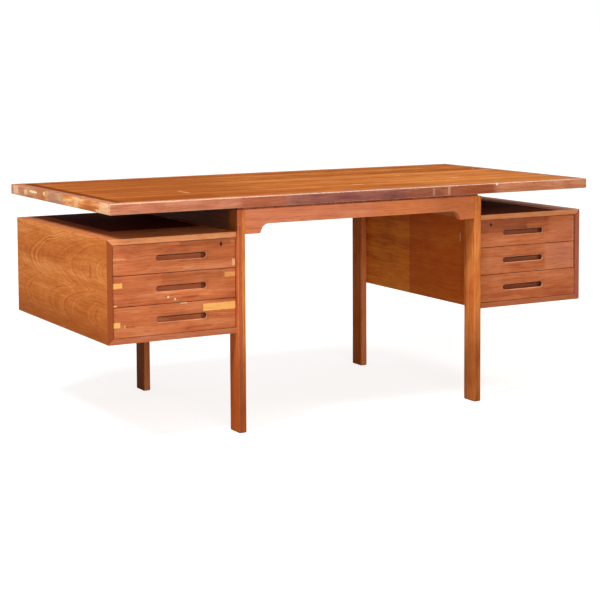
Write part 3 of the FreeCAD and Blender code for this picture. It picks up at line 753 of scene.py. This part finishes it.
# A point's place along the edge is its station, from -1 to 1, times half the length less the point's inset.
low, high = corners_of("front_lipping")
half_x, half_y = corners_of("right_lipping")[1][0], -low[1]
outline = rounded_loop((0, low[2]), (LIPPING_WIDTH, high[2]),
                       (LIPPING_ROUND, GLUED_ROUND, GLUED_ROUND, LIPPING_ROUND))
inset, height = outline[:, 0], outline[:, 1]
for quarter, side in enumerate(("front", "right", "back", "left")):
    long_side = side in ("front", "back")
    half_length, half_across = (half_x, half_y) if long_side else (half_y, half_x)
    along = np.linspace(-1, 1, LIPPING_STATIONS)[:, None] * (half_length - inset)
    rings = np.stack(np.broadcast_arrays(along, inset - half_across, height), -1)
    angle = quarter * math.pi / 2
    cosine, sine = math.cos(angle), math.sin(angle)
    swung = rings @ np.array([[cosine, sine, 0], [-sine, cosine, 0], [0, 0, 1]])
    finish = lipping_wood if long_side else end_lipping
    place_piece(f"{side}_edge", skin(f"{side}_edge", swung), finish, "desk", "teak_lipping",
                f"{side}_lipping")
print("lippings:", [round(2 * half_x), round(2 * half_y)])

# %% [markdown]
# ## Rails
# The long rails are shallow in the middle, to clear the sitter's knees, and deeper where they meet the
# legs. The lower edge follows a curve and a short ramp that a maker cuts with a bandsaw and smooths with
# a file. The outline is a rounded rectangle at every station, and only its lower edge moves.

# %% Front and back rail
RAIL_ROUND = 1.4
RAIL_LOW, RAIL_HIGH, RAIL_TOP = 613.0, 642.0, 689.0
RAMP_START, RAMP_END, ARC_END, ARC_RADIUS = 373.0, 367.0, 342.5, 28.0

# Stations are close together where the lower edge bends, and far apart where it runs level.
leg_face = corners_of("right_front_leg")[0][0]
deep = np.linspace(leg_face, RAMP_START, 5)
sloping = np.linspace(RAMP_START - 0.6, RAMP_END, 5)
curving = np.linspace(RAMP_END - 1, ARC_END, 18)
shallow = np.linspace(-ARC_END + 20, ARC_END - 20, 15)
half = np.concatenate([deep, sloping, curving])
stations = np.concatenate([-half, shallow, half[::-1]])

# The curve's height is its centre's, plus the root of the radius squared less the distance past the level
# squared. The ramp's height goes evenly from the low edge to the curve's foot.
reach = np.abs(stations)
past = np.clip(reach - ARC_END, 0, None)
curve = RAIL_HIGH - ARC_RADIUS + np.sqrt(np.clip(ARC_RADIUS ** 2 - past ** 2, 0, None))
foot = curve[np.argmin(np.abs(reach - RAMP_END))]
ramp = RAIL_LOW + (foot - RAIL_LOW) * (RAMP_START - reach) / (RAMP_START - RAMP_END)
lower = np.where(reach >= RAMP_START, RAIL_LOW, np.where(reach > RAMP_END, ramp, curve))
for name, node in (("front_apron", "front_rail"), ("back_apron", "back_rail")):
    low, high = corners_of(node)
    loops = np.stack([rounded_loop((low[1], z), (high[1], RAIL_TOP), [RAIL_ROUND] * 4) for z in lower])
    across = np.broadcast_to(stations[:, None, None], loops.shape[:2] + (1,))
    rings = np.concatenate([across, loops], -1)
    place_piece(name, skin(name, rings), frame_wood, "desk", "teak_frame", node)
print("rail stations:", len(stations))

# %% [markdown]
# ## Legs
# Each leg is a slim board that stands with its narrow face to the front. Its long edges are rounded with
# a plane and sandpaper, and its foot is rounded underneath, so that it can be dragged without splitting.
# The outline is a rounded rectangle at any height, and near the floor it shrinks along a quarter circle.

# %% Four legs with rounded edges and feet
LEG_ROUND = 4.0
ROUND_STEPS, LEG_RINGS, LEG_START = 8, 40, 20.0

# A foot's ring rises by the radius less its cosine part, and lies in by the radius less its sine part.
turn = np.linspace(0, np.pi / 2, ROUND_STEPS)
foot_heights, foot_shrinks = LEG_ROUND * (1 - np.cos(turn)), LEG_ROUND * (1 - np.sin(turn))
shrinks = np.concatenate([foot_shrinks, np.zeros(LEG_RINGS)])
for end in ("front", "back"):
    for side in ("left", "right"):
        node = f"{side}_{end}_leg"
        low, high = corners_of(node)
        straight = np.linspace(low[2] + LEG_START, high[2], LEG_RINGS)
        heights = np.concatenate([low[2] + foot_heights, straight])
        outline = rounded_loop((0, 0), (high[0] - low[0], high[1] - low[1]), [LEG_ROUND] * 4, ROUND_STEPS)
        centre = (high[:2] - low[:2]) / 2
        scale = 1 - shrinks[:, None, None] / centre
        flat = low[:2] + centre + (outline - centre) * scale
        rings = np.concatenate([flat, np.broadcast_to(heights[:, None, None], flat.shape[:2] + (1,))], -1)
        place_piece(f"{node}_rounded", skin(f"{node}_rounded", rings), leg_wood, "desk", "teak_frame", node)
print("leg rings:", len(heights))

# %% [markdown]
# ## Panels, drawers and locks
# These pieces have rebates, grooves and dovetails that were cut with machines, so their solids are
# already right. A sharp corner never catches light, and real wood has none. Each solid is copied, its
# loose triangles are merged, flat faces are rejoined, and a narrow bevel softens every edge. The mouth of
# a carved pull gets a wider one, for the fingers.

# %% Softened copies
# Points merge within 2 micrometres. The rest is in millimetres: a pull's middle and half its width, and how
# near the face, and how far from the front's edges, an edge of the mouth lies.
MERGE_REACH = 2e-6
FLAT_ANGLE, SHARP_ANGLE = math.radians(0.5), math.radians(30)
PULL_CENTRE, PULL_REACH = 636.0, 90.0
FACE_REACH, EDGE_MARGIN = 0.01, 3.0


def softened(node, width, material, slot, mouth=None):
    """A merged copy of a CAD node, with a narrow round on each sharp edge and a wider one round a mouth."""
    source = frame["nodes"][node]
    mesh = source.data.copy()
    shell = bmesh.new()
    shell.from_mesh(mesh)
    bmesh.ops.remove_doubles(shell, verts=shell.verts, dist=MERGE_REACH)
    bmesh.ops.dissolve_limit(shell, angle_limit=FLAT_ANGLE, verts=shell.verts, edges=shell.edges)
    shell.to_mesh(mesh)
    shell.free()
    mesh.shade_smooth()
    mesh.set_sharp_from_angle(angle=SHARP_ANGLE)
    piece = place_piece(f"{node}_softened", mesh, material, source["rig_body"], slot, node)
    bevel = piece.modifiers.new("softened edges", "BEVEL")
    bevel.width, bevel.segments, bevel.harden_normals = width / 1000, 2, True
    bevel.limit_method, bevel.angle_limit = "ANGLE", SHARP_ANGLE
    if mouth:
        weigh_mouth(mesh, width / mouth)
        bevel.width, bevel.segments, bevel.limit_method = mouth / 1000, 3, "WEIGHT"


def weigh_mouth(mesh, narrow):
    """Sharp edges get a narrow share of the round. Those of the front face in the pull's reach get it all."""
    places = np.empty(len(mesh.vertices) * 3)
    mesh.vertices.foreach_get("co", places)
    places = places.reshape(-1, 3) * 1000
    pairs = np.empty(len(mesh.edges) * 2, dtype=int)
    mesh.edges.foreach_get("vertices", pairs)
    ends = places[pairs.reshape(-1, 2)]
    sharp = np.zeros(len(mesh.edges), dtype=bool)
    mesh.attributes["sharp_edge"].data.foreach_get("value", sharp)
    low, high = places.min(0), places.max(0)
    at_face = (ends[..., 1] < low[1] + FACE_REACH).all(1)
    within = (np.abs(np.abs(ends[..., 0]) - PULL_CENTRE) < PULL_REACH).all(1)
    inside = ((ends[..., 2] > low[2] + EDGE_MARGIN) & (ends[..., 2] < high[2] - EDGE_MARGIN)).all(1)
    weights = np.where(at_face & within & inside, 1.0, narrow) * sharp
    shares = mesh.attributes.new("bevel_weight_edge", "FLOAT", "EDGE")
    shares.data.foreach_set("value", weights.astype(np.float32))


print("edges are rounded from", round(math.degrees(SHARP_ANGLE)), "degrees")

# %% Panels, drawers and locks on both sides
# The nodes of one side, each with the width of its round in millimetres, its finish, its slot, and for a
# front the round of its pull's mouth.
ONE_SIDE = [
    ("pedestal_top", 0.4, carcase_wood, "teak_panel"),
    ("pedestal_bottom", 0.4, carcase_wood, "teak_panel"),
    ("pedestal_outer_side", 0.4, end_veneer, "teak_panel"),
    ("pedestal_inner_side", 0.4, inner_veneer, "teak_panel"),
    ("pedestal_back", 0.4, back_veneer, "teak_panel"),
    ("side_rail", 0.8, side_rail_wood, "teak_frame"),
    ("drawer_runners", 0.5, beech, "beech"),
]
for row in ("bottom", "middle", "top"):
    ONE_SIDE += [
        (f"{row}_drawer_front", 0.6, front_veneer, "teak_front", 2.4),
        (f"{row}_drawer_sides", 0.3, beech, "beech"),
        (f"{row}_drawer_back", 0.3, beech, "beech"),
        (f"{row}_drawer_bottom", 0.2, ply, "plywood"),
    ]
ONE_SIDE += [
    ("lock_case", 0.15, steel, "lock_steel"),
    ("lock_bolt", 0.15, steel, "lock_steel"),
    ("lock_plug", 0.12, brass, "lock_brass"),
]
for side in ("left", "right"):
    for node, *look in ONE_SIDE:
        softened(f"{side}_{node}", *look)

# %% [markdown]
# ## The pieces that keep their solids
# The lippings cover the board's edges, and the spacer strips lie deep in the gap, so neither needs a
# round. Their solids stay as they are, and only their material slots are filled.

# %% Board and spacer strips
KEPT = {"top_panel": top_veneer}
for side in ("front", "back", "left", "right"):
    KEPT[f"{side}_spacer_strip"] = spacer_wood
for node, material in KEPT.items():
    for entry in frame["nodes"][node].material_slots:
        entry.material = material
